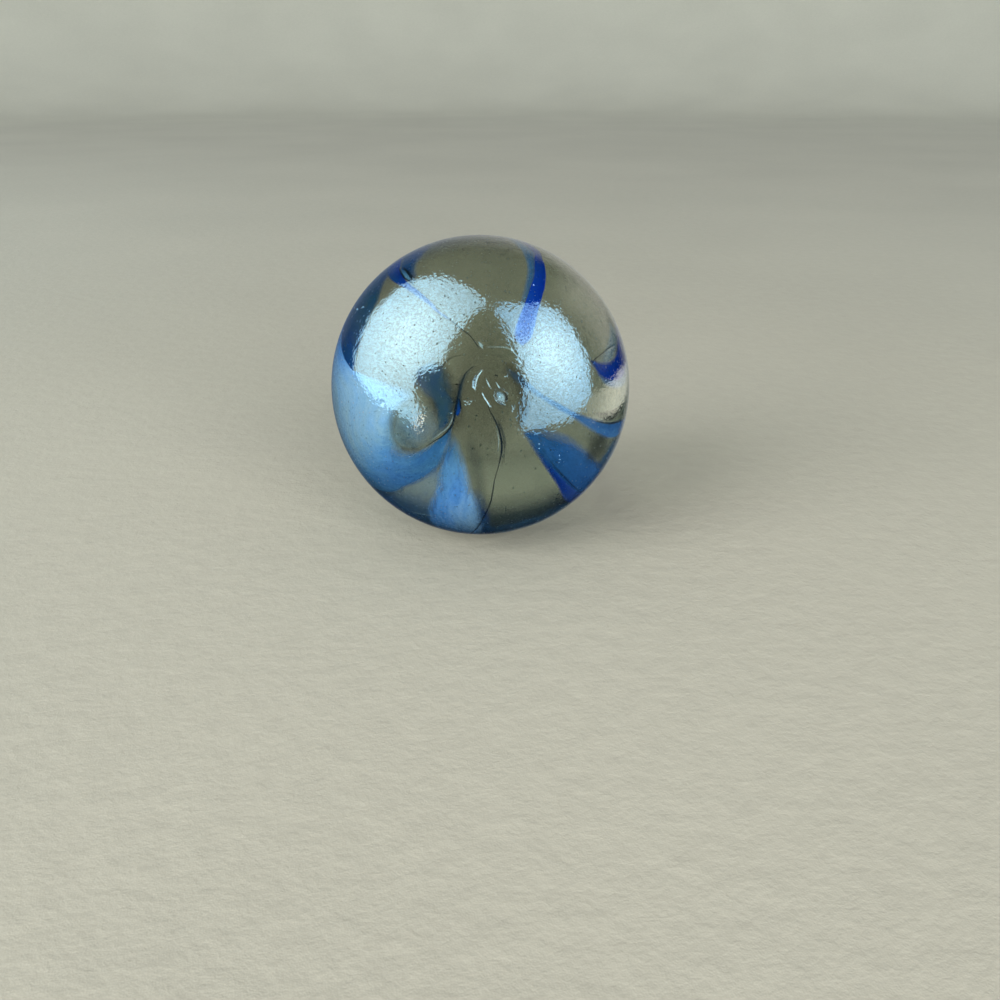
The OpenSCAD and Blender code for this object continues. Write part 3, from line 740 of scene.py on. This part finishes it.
def finish_piece(name, bm, node, material):
    """Makes a piece of the marble from a bmesh."""
    piece = smooth_object(name, bm, material)
    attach(piece, "root")
    if node:
        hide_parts(node)
    return piece


def stage_piece(name, bm, material):
    """Makes a piece of the stage from a bmesh."""
    piece = smooth_object(name, bm, material)
    return piece


def add_sheet(bm, axes, radius, sheet, number):
    """Adds a sheet of glass between its rails, its faces narrower towards both."""
    flow = bm.verts.layers.float_vector["flow"]
    dress = bm.verts.layers.float_vector["dress"]
    style = bm.verts.layers.float_vector["style"]
    milk, milk_end = sheet["milk"]
    pairs = rails(sheet, SHEET_STEPS)
    last = len(pairs) - 1
    along = [0.0]
    for (a, b, _), (c, d, _) in zip(pairs, pairs[1:]):
        along.append(along[-1] + ((c + d) / 2 - (a + b) / 2).length * radius / MM)
    grid = bmesh.ops.create_grid(bm, x_segments=last, y_segments=SHEET_FACES, size=0.5)
    for v in grid["verts"]:
        i = round((v.co.x + 0.5) * last)
        share = (1 + math.sin(math.pi * v.co.y)) / 2
        a, b, (density, tint_a, tint_b, soft_a) = pairs[i]
        width = math.degrees(a.angle(b))
        edge = min(share * width / soft_a, (1 - share) * width / sheet["soft"],
                   FULL_EDGE)
        reach = math.radians(width) * radius / MM
        sink = sheet["depth"] + RAIL_SINK * (2 * share - 1) ** 2
        v[flow] = (along[i], (share - 0.5) * reach, number)
        v[dress] = (edge, density, tint_a + share * (tint_b - tint_a))
        v[style] = (sheet["fray"], sheet["streak"],
                    min(1.0, max(0.0, milk + (milk_end - milk) * i / last)))
        v.co = axes @ a.lerp(b, share).normalized() * (radius - sink * MM)
    faces = {f for v in grid["verts"] for f in v.link_faces}
    for f in faces:
        f.normal_update()
        if f.normal.dot(f.calc_center_median()) < 0:
            f.normal_flip()


def nearest(places):
    """A tree that finds the nearest of some directions."""
    tree = kdtree.KDTree(len(places))
    for i, place in enumerate(places):
        tree.insert(place, i)
    tree.balance()
    return tree


# ---------------------------------------------------------------------------
# Node helpers


def node_group(name, inputs, outputs):
    """A new node group with its sockets, and its two end nodes."""
    group = bpy.data.node_groups.new(name, "ShaderNodeTree")
    for label, kind, default in inputs:
        socket = group.interface.new_socket(label, in_out="INPUT", socket_type=kind)
        if default is not None:
            socket.default_value = default
    for label, kind in outputs:
        group.interface.new_socket(label, in_out="OUTPUT", socket_type=kind)
    return group, group.nodes.new("NodeGroupInput"), group.nodes.new("NodeGroupOutput")


class Tree:
    """Short ways to add and join nodes."""

    def __init__(self, tree):
        self.tree = tree

    def join(self, value, socket):
        """Sets a socket from a constant, or from another node."""
        if isinstance(value, bpy.types.NodeSocket):
            self.tree.links.new(value, socket)
        else:
            socket.default_value = value

    def add(self, kind, values=None, **settings):
        """Adds a shader node with its settings, then the values of its inputs."""
        node = self.tree.nodes.new("ShaderNode" + kind)
        for key, value in settings.items():
            setattr(node, key, value)
        for key, value in (values or {}).items():
            self.join(value, node.inputs[key])
        return node

    def place(self):
        """The place on the piece."""
        return self.add("TexCoord").outputs["Object"]

    def attribute(self, name, output="Fac"):
        """A value that is stored on the mesh."""
        return self.add("Attribute", attribute_name=name).outputs[output]

    def parts(self, vector):
        """The three values of a vector, or of a colour."""
        return self.add("SeparateXYZ", {0: vector}).outputs

    def math(self, operation, a, b=0.0, c=0.0, clamp=False):
        return self.add("Math", {0: a, 1: b, 2: c}, operation=operation,
                        use_clamp=clamp).outputs[0]

    def vector(self, operation, a, b=(0, 0, 0)):
        return self.add("VectorMath", {0: a, 1: b}, operation=operation).outputs[0]

    def scaled(self, vector, scale):
        """A vector or a colour, times a value."""
        return self.add("VectorMath", {0: vector, "Scale": scale},
                        operation="SCALE").outputs[0]

    def noise(self, vector, scale, detail=3.0, roughness=0.5, stretch=None):
        """Noise between 0 and 1, drawn out along the axes where stretch is small."""
        if stretch:
            vector = self.vector("MULTIPLY", vector, stretch)
        return self.add("TexNoise", {
            "Vector": vector, "Scale": scale, "Detail": detail,
            "Roughness": roughness}).outputs["Fac"]

    def ramp(self, factor, stops):
        """A colour from stops of [position, colour]."""
        node = self.add("ValToRGB", {"Fac": factor})
        elements = node.color_ramp.elements
        elements[0].position, elements[1].position = stops[0][0], stops[-1][0]
        for position, _ in stops[1:-1]:
            elements.new(position)
        for element, (_, colour) in zip(elements, stops):
            element.color = (*colour, 1.0)
        return node.outputs["Color"]

    def remap(self, value, low, high, to_low=0.0, to_high=1.0, kind="LINEAR"):
        return self.add("MapRange", {
            "Value": value, "From Min": low, "From Max": high, "To Min": to_low,
            "To Max": to_high}, interpolation_type=kind).outputs["Result"]

    def spread(self, noise, low, high):
        """Noise, most of which is from 0.3 to 0.7, stretched to another range."""
        return self.remap(noise, 0.3, 0.7, low, high)

    def blend(self, factor, a, b, mode="MIX"):
        """A mix of two colours."""
        node = self.add("Mix", data_type="RGBA", blend_type=mode)
        for socket, value in ((0, factor), (6, a), (7, b)):
            self.join(value, node.inputs[socket])
        return node.outputs[2]

    def mixed(self, factor, a, b):
        """A mix of two shader nodes."""
        return self.add("MixShader", {
            0: factor, 1: a.outputs[0], 2: b.outputs[0]})


def new_material(name):
    """A material with an empty tree, and the node that it ends in."""
    material = bpy.data.materials.new(name)
    material.use_nodes = True
    material.node_tree.nodes.clear()
    tree = Tree(material.node_tree)
    return material, tree, tree.add("OutputMaterial")


def streaks_group():
    """Drawn-out streaks along a sheet: one broad value, one fine and a grain."""
    if "Drawn streaks" in bpy.data.node_groups:
        return bpy.data.node_groups["Drawn streaks"]
    group, source, sink = node_group(
        "Drawn streaks",
        [("Flow", "NodeSocketVector", None), ("Broad", "NodeSocketFloat", 1.0),
         ("Fine", "NodeSocketFloat", 4.0)],
        [("Broad", "NodeSocketFloat"), ("Fine", "NodeSocketFloat"),
         ("Grain", "NodeSocketFloat")])
    t = Tree(group)
    flow = source.outputs["Flow"]
    wobble = t.add("TexNoise", {"Vector": flow, "Scale": 0.6, "Detail": 3.0})
    bent = t.vector("ADD", flow,
                    t.vector("MULTIPLY", wobble.outputs["Color"], (0, 1.2, 0)))
    broad = t.noise(bent, source.outputs["Broad"], 3.0, 0.6, stretch=(0.35, 1.0, 3.1))
    fine = t.noise(bent, source.outputs["Fine"], 5.0, 0.65, stretch=(0.16, 1.0, 5.3))
    grain = t.noise(flow, 7.0, 5.0, 0.8, stretch=(0.6, 1.0, 7.7))
    for label, value in (("Broad", broad), ("Fine", fine), ("Grain", grain)):
        t.join(value, sink.inputs[label])
    return group


def specks_group():
    """Scattered dots of uneven size: 1 on a dot, 0 between them."""
    if "Specks" in bpy.data.node_groups:
        return bpy.data.node_groups["Specks"]
    group, source, sink = node_group(
        "Specks",
        [("Place", "NodeSocketVector", None), ("Scale", "NodeSocketFloat", 3000.0),
         ("Size", "NodeSocketFloat", 0.12)],
        [("Mask", "NodeSocketFloat")])
    t = Tree(group)
    cells = t.add("TexVoronoi", {
        "Vector": source.outputs["Place"], "Scale": source.outputs["Scale"]})
    chance = t.parts(cells.outputs["Color"])["X"]
    reach = t.math("MULTIPLY", t.math("POWER", chance, 3.0), source.outputs["Size"])
    dot = t.math("SUBTRACT", reach, cells.outputs["Distance"])
    t.join(t.math("MULTIPLY", dot, 40.0, clamp=True), sink.inputs["Mask"])
    return group


def sheet_material(name, colours, milk_tint, through=0.35):
    """Glass that scatters light, as a thin sheet inside clear glass."""
    material, t, output = new_material(name)
    flow = t.attribute("flow", "Vector")
    edge, density, tint = t.parts(t.attribute("dress", "Vector"))
    fray, streak, milk = t.parts(t.attribute("style", "Vector"))
    drawn = t.add("Group", {"Flow": flow}, node_tree=streaks_group())
    broad = t.spread(drawn.outputs["Broad"], -1.0, 1.0)
    fine = t.math("MULTIPLY", t.spread(drawn.outputs["Fine"], -1.0, 1.0), streak)
    grain = t.spread(drawn.outputs["Grain"], -1.0, 1.0)

    # how solid the sheet is: frayed towards its rails, and clear along its very border
    torn = t.math("ADD", t.math("MULTIPLY", broad, 0.2), t.math("MULTIPLY", fine, 0.25))
    torn = t.math("ADD", torn, t.math("MULTIPLY", grain, 0.1))
    torn = t.math("MULTIPLY", torn, t.math("MULTIPLY", edge, 2.5, clamp=True))
    mask = t.remap(t.math("MULTIPLY_ADD", torn, fray, edge), 0.0, 1.0,
                   kind="SMOOTHSTEP")
    body = t.math("MULTIPLY_ADD", t.math("ADD", fine, grain), 0.07, 0.93)
    alpha = t.math("MULTIPLY", t.math("MULTIPLY", mask, density), body, clamp=True)

    # its colour: the tint and the milk drawn out in streaks, with dark specks
    shade = t.math("MULTIPLY_ADD", broad, 0.05, tint)
    shade = t.math("MULTIPLY_ADD", fine, 0.08, shade)
    shade = t.math("MULTIPLY_ADD", grain, 0.06, shade)
    grey = t.math("MULTIPLY_ADD", broad, 0.25, milk, clamp=True)
    colour = t.blend(grey, t.ramp(shade, colours), (*milk_tint, 1), mode="MULTIPLY")
    dots = t.add("Group", {"Place": flow, "Scale": 7.0, "Size": 0.35},
                 node_tree=specks_group())
    colour = t.scaled(colour, t.remap(dots.outputs["Mask"], 0.0, 1.0, 1.0, 0.55))

    front = t.add("BsdfPrincipled", {
        "Base Color": colour, "Roughness": 0.8, "Specular IOR Level": 0.0})
    back = t.add("BsdfTranslucent", {"Color": colour})
    glow = t.mixed(through, front, back)
    sheet = t.mixed(alpha, t.add("BsdfTransparent"), glow)
    t.join(sheet.outputs[0], output.inputs["Surface"])
    return material


def ball_material(colours):
    """Clear glass with an orange peel, dull specks, a scarred mark and a smoky tint."""
    material, t, output = new_material("clear_olive_glass")
    place = t.place()
    ragged = t.add("TexNoise", {"Vector": place, "Scale": 9000.0})
    ragged = t.vector("ADD", place, t.vector(
        "MULTIPLY", ragged.outputs["Color"], (0.0001, 0.0001, 0.0001)))
    dull = t.add("Group", {"Place": ragged, "Scale": 5600.0, "Size": 0.32},
                 node_tree=specks_group()).outputs["Mask"]

    # orange peel, and rips in the cut mark
    wave = t.noise(place, 1500.0, 1.0)
    peel = t.noise(place, 6500.0, 1.5)
    rips = t.noise(place, 5000.0, 2.0, stretch=(2.6, 1.0, 0.8))
    height = t.math("MULTIPLY_ADD", wave, 1.2, peel)
    height = t.math("MULTIPLY_ADD", t.math("MULTIPLY", rips, t.attribute("scar")), 0.12,
                    height)
    bump = t.add("Bump", {
        "Height": height, "Distance": 0.000011, "Strength": 1.0}).outputs[0]

    # smoke and dust in the glass
    smoke = t.noise(place, 420.0, 3.0, 0.6, stretch=(1.0, 1.0, 0.45))
    tint = t.blend(t.remap(smoke, 0.35, 0.7), (1, 1, 1, 1), (0.86, 0.90, 0.88, 1))
    cloud = t.remap(t.noise(place, 170.0, 2.0), 0.5, 0.62)
    dust = t.remap(t.noise(place, 3400.0, 5.0, 0.75), 0.47, 0.62)
    tint = t.blend(t.math("MULTIPLY", cloud, dust), tint, (0.52, 0.60, 0.58, 1))
    tint = t.blend(dull, tint, (0.16, 0.20, 0.22, 1))

    # the shine is weaker where the skin is scuffed or specked, and painted weaker on the
    # highlights over the ribbons
    scuff = t.noise(place, 8000.0, 3.0, 0.7, stretch=(1.0, 1.0, 1.8))
    scuff = t.remap(scuff, 0.43, 0.57)
    coat = t.math("SUBTRACT", 1.0, t.math("MULTIPLY", scuff, 0.5))
    coat = t.math("SUBTRACT", t.math("SUBTRACT", coat, t.attribute("dimmed_shine")), dull,
                  clamp=True)
    glass = t.add("BsdfPrincipled", {
        "Base Color": tint, "Roughness": t.math("MULTIPLY", dull, 0.4), "IOR": 1.5,
        "Transmission Weight": 1.0, "Coat Weight": coat,
        "Coat Roughness": 0.0, "Coat IOR": 2.0, "Normal": bump, "Coat Normal": bump})
    clear = t.add("BsdfTransparent", {"Color": (0.92, 0.92, 0.92, 1)})
    shadow = t.add("LightPath").outputs["Is Shadow Ray"]
    t.join(t.mixed(shadow, glass, clear).outputs[0], output.inputs["Surface"])
    body = t.add("VolumeAbsorption", {
        "Color": (*colours.body, 1.0), "Density": colours.body_density})
    t.join(body.outputs[0], output.inputs["Volume"])
    return material


# ---------------------------------------------------------------------------
# Pieces


def bowl_depth(off):
    """Depth (mm) of the cut mark's bowl, so far (mm) off its middle."""
    return BOWL_DEPTH * max(0.0, 1 - (off / BOWL_HALF) ** 2)


def chip_depth(across, up):
    """Depth (mm) of the chip in the cut mark, at a place (mm) on it."""
    turn = math.radians(CHIP["turn"])
    dx, dy = across - CHIP["right"], up - CHIP["up"]
    length = (dx * math.cos(turn) + dy * math.sin(turn)) / CHIP["half_length"]
    width = (dy * math.cos(turn) - dx * math.sin(turn)) / CHIP["half_width"]
    floor = max(0.0, CHIP["depth"] - CHIP["rise"] * (dx - CHIP["lean"] * dy))
    return floor * min(1.0, CHIP["wall"] * max(0.0, 1 - math.hypot(length, width)))


def scratch_depth(across, up):
    """Depth (mm) of the deepest scratch of the cut mark, at a place (mm) on it."""
    here = Vector((across, up))
    deepest = 0.0
    for course in SCRATCHES:
        for (x, y, half), (x_end, y_end, half_end) in zip(course, course[1:]):
            start, end = Vector((x, y)), Vector((x_end, y_end))
            run = end - start
            share = min(1.0, max(0.0, (here - start).dot(run) / run.length_squared))
            off = (here - start - run * share).length
            deepest = max(deepest, half + (half_end - half) * share - off)
    return SCRATCH_SLOPE * deepest


def skin_mesh(fineness, creases, pits):
    """A unit ball with its cut mark at +Z, finer near the mark, creases and pits."""
    bm = bmesh.new()
    bmesh.ops.create_icosphere(bm, subdivisions=fineness, radius=1.0)
    for crease_reach, mark_reach, pit_reach in FINE_REACHES:
        near = {v for v in bm.verts if (v.co - MARK).length < mark_reach
                or creases.find(v.co)[2] < crease_reach
                or pits.find(v.co)[2] < pit_reach}
        edges = [e for e in bm.edges if e.verts[0] in near and e.verts[1] in near]
        bmesh.ops.subdivide_edges(bm, edges=edges, cuts=1, use_grid_fill=True)
        for v in bm.verts:
            v.co.normalize()
    bmesh.ops.triangulate(bm, faces=[f for f in bm.faces if len(f.verts) > 3])
    return bm


class MARBLE_OT_ball(bpy.types.Operator):
    """Builds the clear ball with its cut mark, creases and open seeds"""
    bl_idname = "marble.ball"
    bl_label = "Clear ball"

    def execute(self, context):
        ball = context.scene.marble_ball
        radius = ball.diameter / 2
        scale = radius / MM
        axes = swirl_axes(ball)
        creases = nearest([here for name in GROOVED
                           for here, _ in walk(CREASES[name]["places"], GROOVE_STEPS)])
        pits = nearest([polar(pit[0], pit[1]) for pit in PITS])
        bands = [here for course in DIMMED_SHINE for here in walk(course, DIMMED_SHINE_STEPS)]
        dull = nearest([here for here, _ in bands])
        bm = skin_mesh(ball.fineness, creases, pits)
        scar = bm.verts.layers.float.new("scar")
        dimmed_shine = bm.verts.layers.float.new("dimmed_shine")
        for v in bm.verts:
            d = v.co.copy()
            sink = 0.0
            if (d - MARK).length < MARK_REACH:
                across, up = d.x * scale, d.y * scale
                sink = bowl_depth(d.xy.length * scale)
                sink += max(chip_depth(across, up), scratch_depth(across, up))
                v[scar] = min(1.0, sink / SCARRED)
            # painted shade: the shine is weakened on the highlights over the ribbons
            _, i, off = dull.find(d)
            half, loss = bands[i][1]
            rise = DIMMED_SHINE_RISE * (1 - math.degrees(off) / half)
            v[dimmed_shine] = loss * max(0.0, min(1.0, rise))
            _, i, off = pits.find(d)
            width, depth = PITS[i][2:]
            off *= 2 * scale / width
            if off < 1:
                sink = max(sink, depth * (1 - off * off))
            off = creases.find(d)[2] * radius / ball.groove_width
            if off < GROOVE_REACH:
                sink += ball.groove_depth / MM * math.exp(-off * off)
            v.co = axes @ d * (radius - sink * MM)
        bmesh.ops.recalc_face_normals(bm, faces=bm.faces)
        finish_piece("clear_ball", bm, "clear_glass",
                     ball_material(context.scene.marble_colours))
        return {"FINISHED"}


def sheets_piece(context, name, sheets, node, material):
    """One piece of the marble, made of all the sheets of one glass."""
    ball = context.scene.marble_ball
    bm = bmesh.new()
    for layer in ("flow", "dress", "style"):
        bm.verts.layers.float_vector.new(layer)
    for number, sheet in enumerate(sheets.values(), 1):
        add_sheet(bm, swirl_axes(ball), ball.diameter / 2, sheet, number)
    piece = finish_piece(name, bm, node, material)
    shell = piece.modifiers.new("Thickness", "SOLIDIFY")
    shell.thickness, shell.offset = ball.sheet_thickness, -1.0


class MARBLE_OT_veils(bpy.types.Operator):
    """Builds the pale blue veils"""
    bl_idname = "marble.veils"
    bl_label = "Pale blue veils"

    def execute(self, context):
        c = context.scene.marble_colours
        material = sheet_material(
            "pale_blue_veil",
            [(0.0, c.veil_steel), (0.3, c.veil_royal), (0.55, c.veil_azure),
             (0.78, c.veil_sky), (1.0, c.veil_pale)], c.milk)
        sheets_piece(context, "pale_veils", VEILS, "pale_blue_veils",
                     material)
        return {"FINISHED"}


class MARBLE_OT_ribbons(bpy.types.Operator):
    """Builds the cobalt ribbons"""
    bl_idname = "marble.ribbons"
    bl_label = "Cobalt ribbons"

    def execute(self, context):
        c = context.scene.marble_colours
        material = sheet_material(
            "cobalt_ribbon", [(0.0, c.navy), (0.5, c.cobalt), (1.0, c.periwinkle)],
            c.milk)
        sheets_piece(context, "cobalt_swirls", RIBBONS, "cobalt_ribbons",
                     material)
        return {"FINISHED"}


class MARBLE_OT_creases(bpy.types.Operator):
    """Builds the painted shade along the creases of the skin and round them"""
    bl_idname = "marble.creases"
    bl_label = "Creases"

    def execute(self, context):
        c = context.scene.marble_colours
        material = sheet_material(
            "crease_shadow",
            [(0.0, c.crease), (0.3, c.crease), (0.6, c.cobalt), (0.75, c.crease),
             (1.0, c.smoke)], c.milk, through=0.1)
        sheets_piece(context, "painted_crease_shade", CREASES, None, material)
        return {"FINISHED"}


def window_piece(name, window):
    """A panel of light on a sphere round the marble, seen only in reflections."""
    bm = bmesh.new()
    glow = bm.verts.layers.float.new("glow")
    face = bm.faces.new([bm.verts.new((*corner, 0)) for corner in window["corners"]])
    bmesh.ops.triangulate(bm, faces=[face])
    bmesh.ops.subdivide_edges(bm, edges=bm.edges[:], cuts=3, use_grid_fill=True)
    face_it = Matrix.Rotation(math.radians(window["turn"]), 3, "Z") @ Matrix.Rotation(
        math.radians(90 - window["rise"]), 3, "X")
    for v in bm.verts:
        off = (v.co.xy - Vector(window["bright"])).length / window["fade"]
        v[glow] = window["edge"] + (1 - window["edge"]) * math.exp(-off * off)
        turn = math.degrees(math.atan2(v.co.y, v.co.x))
        v.co = face_it @ polar(v.co.length, turn) * WINDOW_DISTANCE
    bright, dim = window["colours"]
    material, t, output = new_material(name)
    level = t.attribute("glow")
    cloud = t.spread(t.noise(t.place(), 9.0, 2.0), 0.93, 1.07)
    light = t.add("Emission", {
        "Color": t.blend(t.remap(level, window["edge"], 1.0), (*dim, 1), (*bright, 1)),
        "Strength": t.math("MULTIPLY", t.math("MULTIPLY", level, cloud),
                           window["strength"])})
    t.join(light.outputs[0], output.inputs["Surface"])
    piece = stage_piece(name, bm, material)
    piece.visible_camera = piece.visible_diffuse = piece.visible_transmission = False
    piece.visible_volume_scatter = piece.visible_shadow = False


def floor_mesh(stage):
    """A flat floor that bends up into a round wall."""
    profile = [(stage.floor_radius * 0.3, 0.0), (stage.floor_radius, 0.0)]
    for step in range(1, SWEEP_STEPS + 1):
        a = math.radians(90 * step / SWEEP_STEPS)
        profile.append((stage.floor_radius + stage.sweep * math.sin(a),
                        stage.sweep * (1 - math.cos(a))))
    profile.append((stage.floor_radius + stage.sweep, stage.wall))
    bm = bmesh.new()
    rings = []
    for out, up in profile:
        ring = bmesh.ops.create_circle(bm, segments=FLOOR_STEPS, radius=out)["verts"]
        bmesh.ops.translate(bm, verts=ring, vec=(0, 0, CAD_BOX[0][2] + up))
        rings.append(ring)
    bm.faces.new(rings[0])
    for inner, outer in zip(rings, rings[1:]):
        for i in range(FLOOR_STEPS):
            bm.faces.new((inner[i], inner[i - 1], outer[i - 1], outer[i]))
    bmesh.ops.recalc_face_normals(bm, faces=bm.faces)
    return bm


def floor_material(stage):
    """Matt paper, paler away from the marble and darker at the top of the wall."""
    material, t, output = new_material("pale_floor")
    place = t.place()
    grain = t.noise(place, 900.0, 4.0, 0.7)
    cloud = t.noise(place, 25.0, 2.0)
    shade = t.math("ADD", t.spread(grain, -0.03, 0.03), t.spread(cloud, 0.97, 1.03))
    x, y, z = t.parts(place)
    out = t.math("SQRT", t.math("ADD", t.math("MULTIPLY", x, x),
                                t.math("MULTIPLY", y, y)))
    # painted light and shade: paler away from the marble, where the lamps light it less,
    # and dark at the top of the wall
    paint = t.blend(t.remap(out, 0.05, stage.floor_radius), (*stage.floor_colour, 1),
                    (*stage.wall_colour, 1))
    paint = t.blend(t.remap(z, stage.shade_from, stage.shade_to), paint,
                    (*stage.shade_colour, 1))
    bump = t.add("Bump", {"Height": grain, "Distance": 0.0002, "Strength": 0.4})
    matt = t.add("BsdfPrincipled", {
        "Base Color": t.scaled(paint, shade), "Roughness": 0.9,
        "Specular IOR Level": 0.2, "Normal": bump.outputs[0]})
    t.join(matt.outputs[0], output.inputs["Surface"])
    return material


def add_lamp(scene, name, place, power):
    """A soft lamp that faces the marble and shows only by its light."""
    light = bpy.data.lights.new(name, "AREA")
    light.shape, light.size = "DISK", LAMP_SIZE
    light.energy, light.color = power, LAMP_COLOUR
    lamp = bpy.data.objects.new(name, light)
    lamp.matrix_world = Matrix.Translation(place) @ Vector(place).to_track_quat(
        "Z", "Y").to_matrix().to_4x4()
    lamp.visible_glossy = lamp.visible_transmission = lamp.visible_camera = False
    scene.collection.objects.link(lamp)


def add_camera(scene, stage):
    """The camera in front of the marble, turned a little down and to the right."""
    camera = bpy.data.cameras.new("camera")
    camera.lens, camera.sensor_width = stage.lens, SENSOR_WIDTH
    camera.clip_start, camera.clip_end = 0.001, 10.0
    eye = bpy.data.objects.new("camera", camera)
    eye.location = stage.camera_distance * Vector(
        (0, -math.cos(stage.camera_rise), math.sin(stage.camera_rise)))
    eye.rotation_euler = (math.pi / 2 - stage.camera_pitch, 0, -stage.camera_yaw)
    scene.collection.objects.link(eye)
    scene.camera = eye


def room_world():
    """Even light for the stage; in reflections it is dark in front, pale behind."""
    world = bpy.data.worlds.new("room")
    world.use_nodes = True
    world.node_tree.nodes.clear()
    t = Tree(world.node_tree)
    x, y, z = t.parts(t.add("TexCoord").outputs["Generated"])
    behind = t.remap(y, 0.75, 1.0)
    beyond = t.ramp(t.remap(x, -0.3, 0.4), [
        (0.0, (0.12, 0.17, 0.25)), (0.45, (0.36, 0.37, 0.35)),
        (1.0, (0.62, 0.63, 0.55))])
    beside = t.remap(t.math("MULTIPLY_ADD", z, -0.55, x), 0.15, 0.4)
    beside = t.math("MULTIPLY", beside, t.remap(y, 0.1, 0.5))
    beside = t.math("MULTIPLY", beside, t.remap(z, 0.0, 0.12))
    mirrored = t.blend(behind, (0.005, 0.006, 0.007, 1), beyond)
    mirrored = t.blend(beside, mirrored, (0.50, 0.49, 0.43, 1))
    soft = t.add("Background", {"Color": (0.92, 0.96, 1.0, 1), "Strength": 0.6})
    seen = t.add("Background", {"Color": mirrored, "Strength": 1.0})
    glossy = t.add("LightPath").outputs["Is Glossy Ray"]
    output = t.add("OutputWorld")
    t.join(t.mixed(glossy, soft, seen).outputs[0], output.inputs["Surface"])
    return world


class MARBLE_OT_stage(bpy.types.Operator):
    """Builds the floor, the lights, the surroundings and the camera"""
    bl_idname = "marble.stage"
    bl_label = "Stage"

    def execute(self, context):
        scene = context.scene
        stage = scene.marble_stage
        floor = stage_piece("floor", floor_mesh(stage), floor_material(stage))
        floor.visible_glossy = False
        for name, window in WINDOWS.items():
            window_piece(name, window)
        for name, place, power in LAMPS:
            add_lamp(scene, name, place, power)
        scene.world = room_world()
        add_camera(scene, stage)
        scene.view_settings.view_transform = "Standard"
        scene.cycles.caustics_refractive = False
        return {"FINISHED"}


class MARBLE_PT_parts(bpy.types.Panel):
    """Lists the pieces of the marble, in the order in which they are built"""
    bl_idname = "MARBLE_PT_parts"
    bl_label = "Glass marble"
    bl_space_type = "VIEW_3D"
    bl_region_type = "UI"
    bl_category = "Marble"

    def draw(self, context):
        for operator in OPERATORS:
            self.layout.operator(operator.bl_idname)


OPERATORS = (MARBLE_OT_ball, MARBLE_OT_veils, MARBLE_OT_ribbons, MARBLE_OT_creases,
             MARBLE_OT_stage)
SETTINGS = {"marble_ball": BallSizes, "marble_colours": GlassColours,
            "marble_stage": StageSizes}
CLASSES = (*SETTINGS.values(), *OPERATORS, MARBLE_PT_parts)


def register():
    """Adds the add-on's classes and its settings."""
    for cls in CLASSES:
        bpy.utils.register_class(cls)
    for name, group in SETTINGS.items():
        setattr(bpy.types.Scene, name, PointerProperty(type=group))


def unregister():
    """Takes them out again."""
    for name in SETTINGS:
        delattr(bpy.types.Scene, name)
    for cls in reversed(CLASSES):
        bpy.utils.unregister_class(cls)


def main():
    register()
    bpy.ops.marble.ball()
    bpy.ops.marble.veils()
    bpy.ops.marble.ribbons()
    bpy.ops.marble.creases()
    bpy.ops.marble.stage()
    bpy.context.view_layer.update()


if __name__ == "__main__":
    main()
